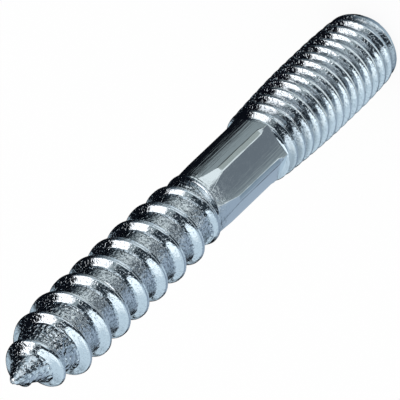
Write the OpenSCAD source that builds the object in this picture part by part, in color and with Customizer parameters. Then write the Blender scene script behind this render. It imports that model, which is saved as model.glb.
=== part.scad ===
// Hanger bolt: a wood thread with a gimlet point, a six-sided grip for a spanner and
// a machine thread, rolled on one steel rod.
// The bolt stands on the flat end of its machine thread, at Z = 0, with its point up.
// Distances along the bolt are measured from the point.
// The fine machine thread is drawn as its outside diameter.

/* [Overall] */
// Length from the point to the end of the machine thread
overall_length = 60; // [56:1:90]

/* [Wood thread] */
// Length from the point to the end of the last turn
wood_length = 31; // [24:1:33]
// Outside diameter just behind the point
wood_d = 7.6; // [7:0.1:8.4]
// Outside diameter of the last full turn
wood_last_d = 7.1; // [6.5:0.1:7.8]
// Diameter of the core between the turns
wood_core_d = 5.8; // [5:0.1:5.9]
// Distance from one turn to the next
wood_pitch = 3.12; // [2.8:0.02:3.6]
// Width of the narrow flat on top of a turn
wood_crest_w = 0.3; // [0.2:0.05:0.6]
// Width of the bare core between two turns
wood_root_w = 1.75; // [1.2:0.05:2]
// Length over which the last turn sinks into the core
wood_run_out = 1.8; // [1:0.1:3]

/* [Point] */
// Diameter of the blunt end of the point
point_d = 0.9; // [0.6:0.1:2]
// Length of the steep nose of the thread
nose_length = 3.2; // [2.5:0.1:5]
// Outside diameter of the thread at the end of the nose
nose_d = 5.5; // [5:0.1:6.8]
// Distance from the point to the widest turn
point_length = 7.5; // [6:0.5:11]
// Length over which the core tapers to the point
core_taper_length = 7; // [4:0.5:9]
// Angle at which the thread starts at the point
thread_start_angle = 330; // [0:1:359]

/* [Six-sided grip] */
// Width across the flats
grip_flats = 5.9; // [5.8:0.05:6.2]
// Diameter across the rounded corners
grip_corners_d = 6.5; // [6.3:0.05:6.8]
// Length of the cone that leads up to the corners from the wood thread
grip_cone_length = 2.6; // [1.5:0.1:4]
// Turn of the flats about the bolt's axis
grip_angle = 40; // [0:1:59]
// Length of the flare from the corners to the first turn of the machine thread
flare_length = 1.6; // [1:0.1:3]

/* [Machine thread] */
// Length from the first turn to the end
machine_length = 18.8; // [14:0.1:21]
// Outside diameter
machine_d = 7.9; // [7.5:0.1:8.2]
// Outside diameter of the first turn
machine_first_d = 7.2; // [6.9:0.1:7.4]
// Length over which the first turns reach the outside diameter
machine_lead_length = 6.8; // [3:0.1:7]
// Length of the steep step from the flats to the first turn
machine_step_length = 0.4; // [0.2:0.1:0.8]
// Length over which the last turns taper
machine_taper_length = 4.5; // [2:0.5:6]
// Outside diameter where the end chamfer starts
machine_last_d = 7.4; // [7:0.1:7.5]
// Length of the chamfer on the end
end_chamfer = 1.2; // [0.5:0.1:1.8]
// Diameter of the flat end face
end_face_d = 5.8; // [5:0.1:6.8]

/* [Hidden] */

// Start of the machine thread's first turn
machine_start = overall_length - machine_length;
// Shoulder of the cone around the core, where the wood thread ends
shoulder = 0.1;
// Length of core that runs on inside the grip
tail_length = 1.5;
// Depth that the machine thread's step starts below the flats
step_depth = 0.2;
// Facets around one turn of the wood thread
turn_facets = 48;
$fn = 72;

// Width of one flank along the axis, and how far its foot is blended into the core
flank_w = (wood_pitch - wood_root_w - wood_crest_w) / 2;
foot_blend = flank_w / 4;
// One turn of the thread, from crest to crest: distance along the axis from the crest,
// and height over the core from 0 to 1
flank_foot = wood_crest_w / 2 + flank_w;
turn_profile = [
    [-wood_crest_w / 2, 1],
    [wood_crest_w / 2, 1],
    [flank_foot - foot_blend, foot_blend / flank_w],
    [flank_foot + foot_blend, 0],
    [wood_pitch / 2, 0],
    [wood_pitch - flank_foot - foot_blend, 0],
    [wood_pitch - flank_foot + foot_blend, foot_blend / flank_w]
];
pitch_rows = len(turn_profile);
// Turns of the helix from the point to the end of the core's tail
turns = (wood_length + tail_length) / wood_pitch;
// Rows of points along the wood thread, each of which winds round once
rows = (ceil(turns) + 2) * pitch_rows;

// Radius of the core at a distance from the point
function core_r(x) = lookup(x, [[0, point_d / 2], [core_taper_length, wood_core_d / 2]]);

// Radius of the top of the thread at a distance from the point
function crest_r(x) = lookup(x, [
    [0, point_d / 2],
    [nose_length, nose_d / 2],
    [point_length, wood_d / 2],
    [wood_length - wood_run_out, wood_last_d / 2],
    [wood_length, wood_core_d / 2]
]);

// Turns from the point to a grid point: each row climbs one pitch as it goes round
function turn_at(row, facet) =
    floor(row / pitch_rows) + turn_profile[row % pitch_rows][0] / wood_pitch + facet / turn_facets - 1;

// Grid point of the wood thread
function thread_point(row, facet) =
    let (
        x = wood_pitch * turn_at(row, facet),
        height = turn_profile[row % pitch_rows][1],
        core = core_r(x),
        r = core + (max(crest_r(x), core) - core) * height,
        angle = 360 * facet / turn_facets
    )
    [r * cos(angle), r * sin(angle), x];

// Number of a grid point: all points before the point or past the tail are one point on the axis
function point_number(row, facet) =
    facet == turn_facets ? point_number(row + pitch_rows, 0)
    : turn_at(row, facet) <= 0 ? 0
    : turn_at(row, facet) >= turns ? 1
    : 2 + row * turn_facets + facet;

// The two triangles of one grid cell
function cell(row, facet) =
    let (
        a = point_number(row, facet),
        b = point_number(row + 1, facet),
        c = point_number(row + 1, facet + 1),
        d = point_number(row, facet + 1)
    )
    [[a, b, c], [a, c, d]];

function has_three_corners(t) = t[0] != t[1] && t[1] != t[2] && t[2] != t[0];

// Wood thread with its core, point and tail, along Z
module wood_thread() {
    tip = [0, 0, 0];
    tail = [0, 0, wood_length + tail_length];
    grid = [for (row = [0 : rows - 1], facet = [0 : turn_facets - 1]) thread_point(row, facet)];
    triangles = [
        for (row = [0 : rows - 2], facet = [0 : turn_facets - 1])
            for (t = cell(row, facet))
                if (has_three_corners(t)) t
    ];
    polyhedron(points = concat([tip, tail], grid), faces = triangles, convexity = 10);
}

// Six-sided grip along Z: a cone, rounded corners and a flare, pressed to six flats
module grip() {
    intersection() {
        translate([0, 0, wood_length])
            rotate([0, 0, grip_angle - 30])
                cylinder(h = machine_start - wood_length, d = grip_flats / cos(30), $fn = 6);
        rotate_extrude()
            polygon([
                [0, wood_length],
                [wood_core_d / 2 + shoulder, wood_length],
                [grip_corners_d / 2, wood_length + grip_cone_length],
                [grip_corners_d / 2, machine_start - flare_length],
                [machine_first_d / 2, machine_start],
                [0, machine_start]
            ]);
    }
}

// Step up from the flats and machine thread, along Z
module machine_thread() {
    step_start = machine_start - machine_step_length;
    rotate_extrude()
        polygon([
            [0, step_start],
            [grip_flats / 2 - step_depth, step_start],
            [machine_first_d / 2, machine_start],
            [machine_d / 2, machine_start + machine_lead_length],
            [machine_d / 2, overall_length - machine_taper_length],
            [machine_last_d / 2, overall_length - end_chamfer],
            [end_face_d / 2, overall_length],
            [0, overall_length]
        ]);
}

module hanger_bolt() {
    color([0.72, 0.76, 0.80])
        translate([0, 0, overall_length])
            rotate([180, 0, 0])
                union() {
                    rotate([0, 0, thread_start_angle])
                        wood_thread();
                    grip();
                    machine_thread();
                }
}

hanger_bolt();
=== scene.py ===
import math

import bmesh
import bpy
from mathutils import Matrix, Vector


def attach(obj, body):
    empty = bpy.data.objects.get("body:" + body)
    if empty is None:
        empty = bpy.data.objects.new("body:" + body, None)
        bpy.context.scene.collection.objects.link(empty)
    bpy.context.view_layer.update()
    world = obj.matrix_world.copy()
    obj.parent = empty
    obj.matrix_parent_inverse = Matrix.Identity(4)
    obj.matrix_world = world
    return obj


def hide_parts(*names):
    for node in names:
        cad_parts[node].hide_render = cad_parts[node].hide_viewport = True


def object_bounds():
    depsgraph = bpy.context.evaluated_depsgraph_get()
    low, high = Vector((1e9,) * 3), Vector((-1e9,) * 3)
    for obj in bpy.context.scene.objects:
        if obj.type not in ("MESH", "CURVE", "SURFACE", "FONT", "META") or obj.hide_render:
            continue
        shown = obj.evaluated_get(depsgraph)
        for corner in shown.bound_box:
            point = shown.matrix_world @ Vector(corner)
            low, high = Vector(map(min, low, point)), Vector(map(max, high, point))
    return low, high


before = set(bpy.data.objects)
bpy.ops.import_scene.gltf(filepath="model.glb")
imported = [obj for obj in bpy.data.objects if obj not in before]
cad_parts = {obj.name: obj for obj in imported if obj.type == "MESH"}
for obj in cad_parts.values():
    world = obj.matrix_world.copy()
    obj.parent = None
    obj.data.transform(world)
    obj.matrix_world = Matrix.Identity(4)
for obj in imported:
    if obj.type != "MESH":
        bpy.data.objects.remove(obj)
cad_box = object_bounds()


# Wood thread: the pointed half of the bolt, cold rolled from the same rod as the rest.
# Thin sharp turns stand on a plain core, and the first turns wind down into a blunt
# gimlet point that starts itself in wood.
mm = 0.001
bolt_length = (cad_box[1].z - cad_box[0].z) / mm
wood_pitch = 3.12
wood_turns = 12
wood_steps = 128
# Distances from the point: the middle of a root on the +X side, and the core's end inside the grip
wood_root_at = 14.3
wood_tail = 32.1
merge_distance = 0.002
thinnest_face = 0.0005


def draw_outline(name, corners):
    """One open line of edges in the XZ plane, from (radius, height) corners in mm."""
    bpy.ops.mesh.primitive_plane_add(size=mm)
    outline = bpy.context.object
    outline.name = name
    bpy.ops.object.mode_set(mode="EDIT")
    bpy.ops.mesh.merge(type="CENTER")
    radius, height = corners[0]
    bpy.ops.transform.translate(value=(radius * mm, 0, height * mm))
    for (r_from, z_from), (r_to, z_to) in zip(corners, corners[1:]):
        step = ((r_to - r_from) * mm, 0, (z_to - z_from) * mm)
        bpy.ops.mesh.extrude_region_move(TRANSFORM_OT_translate={"value": step})
    bpy.ops.object.mode_set(mode="OBJECT")
    return outline


def wind(outline, pitch, turns, steps):
    """Sweeps the active outline round the Z axis, climbing one pitch each turn."""
    bpy.ops.object.modifier_add(type="SCREW")
    screw = outline.modifiers[-1]
    screw.angle = 2 * math.pi
    screw.screw_offset = pitch * mm
    screw.iterations = turns
    screw.steps = screw.render_steps = steps
    bpy.ops.object.modifier_apply(modifier=screw.name)


def close_active_mesh():
    """Merges what meets and turns every face outwards."""
    bpy.ops.object.mode_set(mode="EDIT")
    bpy.ops.mesh.select_all(action="SELECT")
    bpy.ops.mesh.remove_doubles(threshold=merge_distance * mm)
    bpy.ops.mesh.dissolve_degenerate(threshold=thinnest_face * mm)
    bpy.ops.mesh.normals_make_consistent(inside=False)
    bpy.ops.object.mode_set(mode="OBJECT")


def along(x, stations):
    """Value at x on straight stretches between (x, value) stations."""
    if x <= stations[0][0]:
        return stations[0][1]
    for (x0, v0), (x1, v1) in zip(stations, stations[1:]):
        if x <= x1:
            return v0 + (v1 - v0) * (x - x0) / (x1 - x0)
    return stations[-1][1]


def shape_thread(thread, crest_height, pitch, start, end, radius_at):
    """Gives each vertex of a wound thread its radius, from its distance from the point and its
    distance from the nearest crest. What lies before start or past end goes to the axis."""
    for vertex in thread.data.vertices:
        height = vertex.co.z / mm
        x = bolt_length - height
        if not start < x < end:
            vertex.co = (0, 0, (bolt_length - min(max(x, start), end)) * mm)
            continue
        turns = (height - crest_height) / pitch - math.atan2(vertex.co.y, vertex.co.x) / (2 * math.pi)
        from_crest = (turns - round(turns)) * pitch
        outwards = Vector((vertex.co.x, vertex.co.y, 0)).normalized()
        vertex.co = (outwards * radius_at(x, from_crest) + Vector((0, 0, height))) * mm
    close_active_mesh()


# One pitch: distance from the crest towards the point, and height over the core from 0 to 1
wood_profile = [
    (-1.56, 0), (-1.25, 0), (-0.95, 0), (-0.82, 0.01), (-0.72, 0.04), (-0.62, 0.12), (-0.55, 0.22),
    (-0.44, 0.42), (-0.32, 0.66), (-0.24, 0.81), (-0.17, 0.91), (-0.11, 0.97), (-0.05, 1), (0, 0.992),
    (0.05, 0.982), (0.085, 0.975), (0.12, 0.963), (0.17, 0.925), (0.26, 0.77), (0.35, 0.59), (0.44, 0.42),
    (0.5, 0.31), (0.56, 0.205), (0.62, 0.12), (0.68, 0.062), (0.75, 0.026), (0.82, 0.008), (0.9, 0),
    (1.56, 0),
]
# Along the bolt: distance from the point, and radius
blunt_tip = [(0, 0.05), (0.06, 0.2), (0.15, 0.32), (0.3, 0.43)]
point_core = blunt_tip + [(0.6, 0.6), (1.75, 1.15), (4.0, 2.2), (5.4, 2.6), (8.2, 2.9)]
wood_core = point_core + [(28.4, 2.9), (29.8, 2.95), (30.0, 2.85)]
wood_crest = blunt_tip + [
    (0.6, 0.62), (1.3, 1.05), (2.0, 1.95), (2.9, 2.55), (4.2, 3.05), (6.1, 3.6), (7.5, 3.8), (9.2, 3.82),
    (26.5, 3.65), (28.0, 3.55), (29.2, 3.35), (29.9, 3.2), (30.2, 2.85),
]
# Behind the point the crests widen to each side, and a fine seam is left along their tops
wood_crest_spread = [(8, 0), (14, 0.06)]
wood_seam = [(8, 0), (14, 0.055)]
seam_half_width = 0.12


def wood_radius(x, from_crest):
    """Radius of the wood thread at a distance from the point and one from the nearest crest."""
    core = along(x, wood_core)
    crest = max(along(x, wood_crest), core)
    seam = along(x, wood_seam) * max(0, 1 - abs(from_crest) / seam_half_width)
    down_flank = math.copysign(max(0, abs(from_crest) - along(x, wood_crest_spread)), from_crest)
    return core + (crest - core) * along(down_flank, wood_profile) - seam


# A crest lies half a pitch from the middle of a root
crest_phase = (bolt_length - wood_root_at - wood_pitch / 2) % wood_pitch
lowest_crest = crest_phase + bolt_length - (wood_turns - 1) * wood_pitch
wood_rows = [(1, lowest_crest + distance) for distance, _ in wood_profile]
wood = draw_outline("wood_thread", wood_rows)
wind(wood, wood_pitch, wood_turns, wood_steps)
shape_thread(wood, lowest_crest, wood_pitch, 0, wood_tail, wood_radius)


# Grip: the plain stretch between the threads, pressed to six slightly crowned flats for a
# spanner. A rippled rim ends the wood thread, a cone leads up to the corners, and a short
# flare leads on to the machine thread.
grip_steps = 360
# Radius, distance from the point, and rows up to the next corner
grip_outline = [
    (0, 28.7, 1), (2.8, 28.7, 1), (3.06, 28.88, 1), (3.08, 28.96, 1), (2.97, 29.08, 1), (3.14, 29.2, 1),
    (3.17, 29.28, 1), (3.04, 29.42, 1), (3.2, 29.5, 1), (3.26, 29.58, 1), (3.28, 29.68, 1), (3.28, 29.8, 1),
    (3.26, 29.92, 1), (3.06, 30.02, 1), (3.08, 30.25, 24), (3.225, 32.7, 4), (3.225, 34.0, 6),
    (3.225, 39.3, 3), (3.28, 39.7, 6), (3.5, 40.4, 1), (3.5, 40.6, 1), (2.8, 40.8, 1), (0, 40.8, 1),
]
grip_corners = []
for (r0, x0, rows), (r1, x1, _) in zip(grip_outline, grip_outline[1:]):
    for row in range(rows):
        grip_corners.append((r0 + (r1 - r0) * row / rows, bolt_length - x0 - (x1 - x0) * row / rows))
grip_corners.append((grip_outline[-1][0], bolt_length - grip_outline[-1][1]))
grip = draw_outline("grip", grip_corners)
wind(grip, 0, 1, grip_steps)

# The flats are arcs of the crown's radius. The rim stays round, and leans as the end of a turn does.
flat_apothem = 3.0
flat_crown_r = 14
flat_turn = math.radians(257)
flat_lift = [(30.0, 1), (30.1, 0)]
rim_skew = [(30.3, 0.2), (31.1, 0)]
for vertex in grip.data.vertices:
    x = bolt_length - vertex.co.z / mm
    for k in range(6):
        angle = flat_turn + k * math.pi / 3
        normal = Vector((math.cos(angle), math.sin(angle), 0))
        across = Vector((-normal.y, normal.x, 0)).dot(vertex.co) / mm
        limit = flat_apothem + along(x, flat_lift) - across * across / (2 * flat_crown_r)
        over = normal.dot(vertex.co) - limit * mm
        if over > 0:
            vertex.co -= normal * over
    vertex.co.z -= along(x, rim_skew) * vertex.co.x
close_active_mesh()


# Machine thread: a fine rolled thread for a nut. Its first turns aren't rolled full, so their
# crests have a seam, and the last turns run down to a chamfered flat end.
machine_pitch = 1.25
machine_turns = 18
machine_steps = 128
machine_start = 40.4
machine_lowest_crest = -machine_pitch
machine_profile = [
    (-0.625, 0), (-0.56, 0.015), (-0.5, 0.09), (-0.4, 0.31), (-0.28, 0.6), (-0.19, 0.83), (-0.14, 0.94),
    (-0.1, 0.99), (-0.05, 1), (0, 1), (0.05, 1), (0.1, 0.99), (0.14, 0.94), (0.19, 0.83), (0.28, 0.6),
    (0.4, 0.31), (0.5, 0.09), (0.56, 0.015), (0.625, 0),
]
machine_core = [(40.4, 2.75), (40.8, 2.98), (44, 3.12), (48, 3.25), (58.3, 3.25), (59.2, 3.5), (60, 2.85)]
machine_crest = [
    (40.4, 2.8), (40.65, 3.5), (41.3, 3.6), (44.8, 3.8), (47.6, 3.91), (49.4, 3.94), (54.5, 3.94),
    (55.6, 3.9), (57.6, 3.82), (58.7, 3.72), (59.2, 3.56), (60, 2.9),
]
machine_seam = [(41.3, 0.06), (45.3, 0.04), (49.5, 0)]


def machine_radius(x, from_crest):
    """Radius of the machine thread at a distance from the point and one from the nearest crest."""
    core = along(x, machine_core)
    crest = max(along(x, machine_crest), core)
    seam = along(x, machine_seam) * max(0, 1 - abs(from_crest) / seam_half_width)
    return core + (crest - core) * along(from_crest, machine_profile) - seam


machine_rows = [(1, machine_lowest_crest + distance) for distance, _ in machine_profile]
machine = draw_outline("machine_thread", machine_rows)
wind(machine, machine_pitch, machine_turns, machine_steps)
shape_thread(machine, machine_lowest_crest, machine_pitch, machine_start, bolt_length, machine_radius)


# The three stretches are one rod of steel, so they are united into one closed mesh. It is plated
# with bright zinc, which is pitted on the rolled threads and finely drawn along the grip.
def unite(body, other):
    """Makes one body of two that overlap."""
    bpy.ops.object.select_all(action="DESELECT")
    bpy.context.view_layer.objects.active = body
    body.select_set(True)
    bpy.ops.object.modifier_add(type="BOOLEAN")
    union = body.modifiers[-1]
    union.operation = "UNION"
    union.solver = "EXACT"
    union.object = other
    bpy.ops.object.modifier_apply(modifier=union.name)
    bpy.data.objects.remove(other)


unite(wood, grip)
unite(wood, machine)
bolt = wood
bolt.name = bolt.data.name = "zinc_bolt"
close_active_mesh()
# Points with only two edges, left on the union's seams, would fold triangles onto each other
seams = bmesh.new()
seams.from_mesh(bolt.data)
bmesh.ops.dissolve_verts(seams, verts=[v for v in seams.verts if len(v.link_edges) == 2])
seams.to_mesh(bolt.data)
seams.free()
sharp_edge = math.radians(40)
bpy.ops.object.shade_smooth_by_angle(angle=sharp_edge)


def feed(socket, value):
    """Links a socket to another one, or gives it a constant."""
    if isinstance(value, bpy.types.NodeSocket):
        socket.id_data.links.new(value, socket)
    else:
        socket.default_value = value


def calculate(operation, first, second):
    """A Math node on a socket and a second socket or number."""
    node = first.id_data.nodes.new("ShaderNodeMath")
    node.operation = operation
    feed(node.inputs[0], first)
    feed(node.inputs[1], second)
    return node.outputs[0]


def times(first, *others):
    """Product of a socket and other sockets or numbers."""
    for other in others:
        first = calculate("MULTIPLY", first, other)
    return first


def total(first, *others):
    """Sum of a socket and other sockets or numbers."""
    for other in others:
        first = calculate("ADD", first, other)
    return first


def spread(value, from_min, from_max, to_min, to_max):
    """A smooth change from one value to another, while a socket's value crosses a range."""
    node = value.id_data.nodes.new("ShaderNodeMapRange")
    node.interpolation_type = "SMOOTHSTEP"
    node.inputs["From Min"].default_value = from_min
    node.inputs["From Max"].default_value = from_max
    node.inputs["To Min"].default_value = to_min
    node.inputs["To Max"].default_value = to_max
    feed(node.inputs["Value"], value)
    return node.outputs["Result"]


def add_ramp(value, stops):
    """Colour that follows (position, colour) stops while a socket's value goes from 0 to 1."""
    ramp = value.id_data.nodes.new("ShaderNodeValToRGB")
    feed(ramp.inputs[0], value)
    elements = ramp.color_ramp.elements
    elements.remove(elements[1])
    for i, (position, colour) in enumerate(stops):
        element = elements[0] if i == 0 else elements.new(position)
        element.position = position
        element.color = (*colour, 1)
    return ramp.outputs["Color"]


def mix_colours(factor, first, second):
    """Mix node on two colours, which are its inputs 6 and 7. The mixed one is its output 2."""
    node = factor.id_data.nodes.new("ShaderNodeMix")
    node.data_type = "RGBA"
    feed(node.inputs["Factor"], factor)
    feed(node.inputs[6], first)
    feed(node.inputs[7], second)
    return node.outputs[2]


def distance_from_z(x, y):
    """Distance from the Z axis of a place given by two sockets."""
    return calculate("POWER", total(times(x, x), times(y, y)), 0.5)


zinc = bpy.data.materials.new("zinc_plate")
zinc.use_nodes = True
nodes = zinc.node_tree.nodes
plate = nodes["Principled BSDF"]
plate.inputs["Metallic"].default_value = 1
place = nodes.new("ShaderNodeTexCoord").outputs["Object"]


def add_noise(grains, detail, stretch=None):
    """Noise on the bolt, with so many grains a metre. A stretch multiplies them along each axis."""
    noise = nodes.new("ShaderNodeTexNoise")
    noise.inputs["Scale"].default_value = grains
    noise.inputs["Detail"].default_value = detail
    source = place
    if stretch:
        mapping = nodes.new("ShaderNodeMapping")
        mapping.inputs["Scale"].default_value = stretch
        feed(mapping.inputs["Vector"], place)
        source = mapping.outputs["Vector"]
    feed(noise.inputs["Vector"], source)
    return noise.outputs["Fac"]


# Where a point lies, in mm. The core's radius is a ramp along the bolt, in cm to stay below 1.
split = nodes.new("ShaderNodeSeparateXYZ")
feed(split.inputs[0], place)
x_place, y_place, z_place = split.outputs
height = calculate("DIVIDE", z_place, mm)
from_axis = calculate("DIVIDE", distance_from_z(x_place, y_place), mm)
core_stops = [(1 - x / bolt_length, (r / 10, r / 10, r / 10)) for x, r in reversed(point_core)]
core_radius = times(add_ramp(calculate("DIVIDE", height, bolt_length), core_stops), 10)
over_core = calculate("SUBTRACT", from_axis, core_radius)

# How far a point belongs to each stretch, from 0 to 1
on_wood = spread(height, 28.5, 30, 0, 1)
on_machine = spread(height, 18.2, 19.4, 1, 0)
near_point = spread(height, 50, 54, 0, 1)
off_beak = spread(height, 56.2, 57.4, 1, 0.3)
on_threads = total(on_wood, on_machine)
on_grip = total(times(on_threads, -1), 1)
on_root = times(spread(over_core, 0.06, 0.2, 1, 0), on_wood)
# Painted shade: a mask that darkens the machine thread's grooves towards the core
painted_groove_shade = times(spread(from_axis, 3.3, 3.7, 1, 0), on_machine)

# Heights of the relief in mm
grain_depth = total(times(on_threads, 0.003), times(on_root, 0.03))
grain = times(add_noise(4600, 2), grain_depth)
point_grain = times(add_noise(3000, 0), 0.15, near_point, on_root, off_beak)
bead_share = total(times(on_wood, 0.12), times(on_machine, 0.2))
beads = times(spread(add_noise(4400, 0), 0.54, 0.68, 0, 0.05), bead_share)
root_beads = times(spread(add_noise(3000, 0), 0.56, 0.7, 0, 0.045), on_root)
pits = times(spread(add_noise(5600, 1), 0.62, 0.7, 0, -0.008), on_threads)
drawn_lines = times(add_noise(1, 2, (7000, 7000, 250)), 0.015, on_grip)
relief = nodes.new("ShaderNodeBump")
relief.inputs["Distance"].default_value = mm
relief.inputs["Strength"].default_value = 1
feed(relief.inputs["Height"], total(grain, point_grain, pits, drawn_lines, beads, root_beads))
feed(plate.inputs["Normal"], relief.outputs["Normal"])
feed(plate.inputs["Roughness"], spread(add_noise(1800, 3), 0.35, 0.65, 0.05, 0.11))

# Duller specks in the plate, most of all between the turns of the wood thread, and painted shade
# darkening the grooves of the machine thread towards its core
clean_plate = (0.75, 0.79, 0.83, 1)
# This dark colour serves both the plate's dull specks and the painted shade in the machine thread's grooves
pit_and_groove_shade_colour = (0.24, 0.27, 0.3, 1)
away_from_point = total(times(near_point, -0.7), 1)
dullness = times(total(times(on_threads, 0.1), times(on_root, 0.7)), away_from_point)
dull_specks = times(spread(add_noise(5000, 2), 0.5, 0.58, 0, 1), dullness)
# Each point takes the larger of its dull specks and the painted groove shade
pit_and_groove_shade_share = calculate("MAXIMUM", dull_specks, times(painted_groove_shade, 0.68))
feed(plate.inputs["Base Color"], mix_colours(pit_and_groove_shade_share, clean_plate, pit_and_groove_shade_colour))
bolt.data.materials.append(zinc)
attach(bolt, "root")
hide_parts("hanger_bolt")


# Studio floor: white paper with a soft shadow. To the camera and in reflections most of its
# light is its own, so that it stays white.
floor_width = 4000
bpy.ops.mesh.primitive_plane_add(size=floor_width * mm)
floor = bpy.context.object
floor.name = "floor"
own_light = 0.92
paper = bpy.data.materials.new("white_paper")
paper.use_nodes = True
nodes = paper.node_tree.nodes
sheet = nodes["Principled BSDF"]
sheet.inputs["Base Color"].default_value = (0.95, 0.95, 0.95, 1)
sheet.inputs["Roughness"].default_value = 0.9
rays = nodes.new("ShaderNodeLightPath").outputs
mix = nodes.new("ShaderNodeMixShader")
feed(mix.inputs[0], times(total(rays["Is Camera Ray"], rays["Is Glossy Ray"]), own_light))
feed(mix.inputs[1], sheet.outputs[0])
feed(mix.inputs[2], nodes.new("ShaderNodeEmission").outputs[0])
feed(nodes["Material Output"].inputs["Surface"], mix.outputs[0])
floor.data.materials.append(paper)


# Reflectors: a tent and a card round the bolt, with white, pale and dark fields. They show only
# as reflections in the bright zinc, as a photographer's cards do.
def striped_glow(name, by_height, ground, layers):
    """Stripes by the compass angle round the bolt. Each layer fades in over the ground between two
    heights, or between two distances from the bolt's axis, in mm."""
    cloth = bpy.data.materials.new(name)
    cloth.use_nodes = True
    nodes = cloth.node_tree.nodes
    nodes.clear()
    split = nodes.new("ShaderNodeSeparateXYZ")
    feed(split.inputs[0], nodes.new("ShaderNodeTexCoord").outputs["Object"])
    x, y, z = split.outputs
    turn = total(calculate("DIVIDE", calculate("ARCTAN2", y, x), 2 * math.pi), 0.5)
    level = calculate("DIVIDE", z if by_height else distance_from_z(x, y), mm)

    def stripe_colour(stripes):
        return add_ramp(turn, [((degrees + 180) / 360, colour) for degrees, colour in stripes])

    colour = stripe_colour(ground)
    for start, full, stripes in layers:
        colour = mix_colours(spread(level, start, full, 0, 1), colour, stripe_colour(stripes))
    glow = nodes.new("ShaderNodeEmission")
    feed(glow.inputs["Color"], colour)
    feed(nodes.new("ShaderNodeOutputMaterial").inputs["Surface"], glow.outputs[0])
    return cloth


def only_reflected(card):
    """Hides a card from all but reflections."""
    card.visible_camera = card.visible_diffuse = card.visible_shadow = False
    card.visible_transmission = card.visible_volume_scatter = False


white = (1.9, 1.9, 1.9)
glare = (1.25, 1.4, 1.48)
pale = (1.06, 1.18, 1.22)
sky = (0.64, 0.78, 0.87)
haze = (0.5, 0.62, 0.7)
light = (0.9, 1.0, 1.05)
mid_grey = (0.3, 0.36, 0.38)
grey = (0.34, 0.39, 0.41)
lavender = (0.37, 0.46, 0.56)
dusk = (0.13, 0.18, 0.22)
dark = (0.025, 0.035, 0.045)
black = (0.004, 0.005, 0.008)

# The tent's stripes, at the horizon and at rising elevations in degrees
horizon = [
    (-180, lavender), (-146, lavender), (-136, dark), (-108, dark), (-98, white), (-76, white),
    (-68, mid_grey), (-46, mid_grey), (-38, black), (46, black), (54, haze), (70, haze), (78, black),
    (138, black), (150, lavender), (180, lavender),
]
front = [
    (-180, sky), (-146, sky), (-136, dark), (-104, dark), (-94, haze), (-86, light), (-64, light),
    (-50, haze), (-38, grey), (-20, dusk), (-6, dark), (4, black), (46, black), (54, haze), (70, haze),
    (78, black),
]
point_front = front + [(90, black), (98, haze), (116, sky), (180, sky)]
low_front = front + [(104, black), (112, dusk), (120, haze), (134, sky), (180, sky)]
overhead = [
    (-180, pale), (-172, glare), (-147, glare), (-143, dark), (-80, dark), (-72, mid_grey),
    (-52, mid_grey), (-42, white), (-1, white), (4, black), (104, black), (112, dusk), (121, haze),
    (133, sky), (156, sky), (170, pale), (180, pale),
]
tent_radius = 600
tent_layers = []
for start, full, stripes in ((3, 6, point_front), (12, 16, low_front), (36, 50, overhead)):
    start_height = tent_radius * math.sin(math.radians(start))
    full_height = tent_radius * math.sin(math.radians(full))
    tent_layers.append((start_height, full_height, stripes))
bpy.ops.mesh.primitive_uv_sphere_add(segments=96, ring_count=48, radius=tent_radius * mm)
tent = bpy.context.object
tent.name = "light_tent"
bpy.ops.object.mode_set(mode="EDIT")
bpy.ops.mesh.bisect(plane_co=(0, 0, mm), plane_no=(0, 0, 1), clear_inner=True)
bpy.ops.object.mode_set(mode="OBJECT")
tent.data.materials.append(striped_glow("tent_cloth", True, horizon, tent_layers))
only_reflected(tent)

slate = (0.18, 0.21, 0.235)
dark_slate = (0.165, 0.195, 0.22)
green = (0.28, 0.33, 0.34)
pale_green = (0.5, 0.56, 0.58)
mid_green = (0.38, 0.43, 0.41)
pale_root = (0.68, 0.75, 0.76)
steel_blue = (0.24, 0.32, 0.39)
bright = (0.92, 1.0, 1.0)

# The table card's stripes, from the bolt's foot outwards. Each is named after what reflects it.
under_foot = [
    (-180, steel_blue), (-150, steel_blue), (-110, haze), (-70, steel_blue), (-40, black), (180, black),
]
under_machine = [
    (-180, lavender), (-146, pale_green), (-130, bright), (-72, bright), (-52, mid_grey), (-20, dusk),
    (4, black), (122, black), (134, steel_blue), (160, lavender), (180, lavender),
]
under_grip = [
    (-180, lavender), (-168, steel_blue), (-155, steel_blue), (-148, bright), (-142, bright),
    (-136, green), (-126, green), (-120, dark_slate), (-84, dark_slate), (-78, bright), (-68, bright),
    (-64, mid_green), (-44, mid_green), (-40, black), (-27, black), (-22, green), (-4, green), (2, black),
    (104, black), (114, lavender), (146, lavender), (152, dark), (164, dark), (172, lavender),
    (180, lavender),
]
under_rim = [
    (-180, lavender), (-150, lavender), (-136, bright), (-30, bright), (-16, dark), (0, black),
    (130, black), (150, steel_blue), (180, lavender),
]
under_threads = [
    (-180, lavender), (-140, lavender), (-122, slate), (-80, slate), (-66, pale_root), (-38, pale_root),
    (-20, green), (0, dark), (10, black), (130, black), (138, slate), (150, steel_blue),
    (160, steel_blue), (180, lavender),
]
under_crests = [
    (-180, lavender), (-130, lavender), (-110, pale_green), (-80, bright), (-40, bright), (-10, dusk),
    (4, black), (132, black), (146, lavender), (180, lavender),
]
dim = [(-180, lavender), (-150, steel_blue), (-138, dark), (-66, dark), (0, black)]
beyond = dim + [(132, black), (146, lavender), (180, lavender)]
far_off = dim + [
    (88, black), (100, haze), (120, haze), (126, black), (136, black), (146, lavender), (180, lavender),
]
table_layers = [
    (6.5, 8, under_machine), (20.5, 22.5, under_grip), (35.5, 36.1, under_rim), (38.4, 39.2, under_threads),
    (76, 80, under_crests), (104, 112, beyond), (190, 250, far_off),
]
above_floor = 0.05
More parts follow.
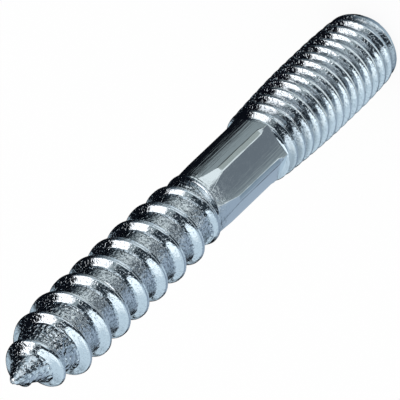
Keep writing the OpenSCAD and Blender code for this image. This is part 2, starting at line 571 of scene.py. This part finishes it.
bpy.ops.mesh.primitive_circle_add(
    vertices=96, radius=tent_radius * mm, fill_type="NGON", location=(0, 0, above_floor * mm)
)
table_card = bpy.context.object
table_card.name = "table_card"
bpy.ops.object.transform_apply(location=True)
table_card.data.materials.append(striped_glow("table_paper", False, under_foot, table_layers))
only_reflected(table_card)

# A small bright card beside the grip lights the cone at its upper corner. It leans away from
# the bolt.
cone_card_size = (2.9, 10, 1)
cone_card_angle = math.radians(-45)
cone_card_lean = math.radians(-70)
cone_card_distance = 9.2 * mm
cone_card_height = 24.0 * mm
bpy.ops.mesh.primitive_plane_add(size=mm)
cone_card = bpy.context.object
cone_card.name = "cone_card"
bpy.ops.transform.resize(value=cone_card_size)
bpy.ops.object.transform_apply(scale=True)
cone_card.rotation_euler = (0, cone_card_lean, cone_card_angle)
cone_card.location = (
    cone_card_distance * math.cos(cone_card_angle),
    cone_card_distance * math.sin(cone_card_angle),
    cone_card_height,
)
bpy.ops.object.transform_apply(location=True, rotation=True)
cone_card.data.materials.append(striped_glow("cone_paper", True, [(0, bright)], []))
only_reflected(cone_card)


# Studio light and camera: an even white sky lights the floor. The camera is far off with a long
# lens. It looks down past the point, and is rolled so that the bolt rises to the right.
world = bpy.data.worlds.new("studio")
bpy.context.scene.world = world
world.use_nodes = True
world.node_tree.nodes["Background"].inputs["Color"].default_value = (1, 1, 1, 1)

camera_tilt = math.radians(47.2)
camera_distance = 800
camera_roll = math.radians(-133.66)
field_width = 35.87
target = Vector((0.21, 0, 28.8))
bpy.ops.object.camera_add()
camera = bpy.context.object
back = Vector((0, -math.sin(camera_tilt), math.cos(camera_tilt)))
camera.matrix_world = (
    Matrix.Translation((target + back * camera_distance) * mm)
    @ (-back).to_track_quat("-Z", "Y").to_matrix().to_4x4()
    @ Matrix.Rotation(camera_roll, 4, "Z")
)
camera.data.sensor_width = 36
camera.data.lens = camera.data.sensor_width * camera_distance / field_width
camera.data.clip_start = 0.01
camera.data.clip_end = 20
bpy.context.scene.camera = camera
bpy.context.scene.view_settings.view_transform = "Standard"
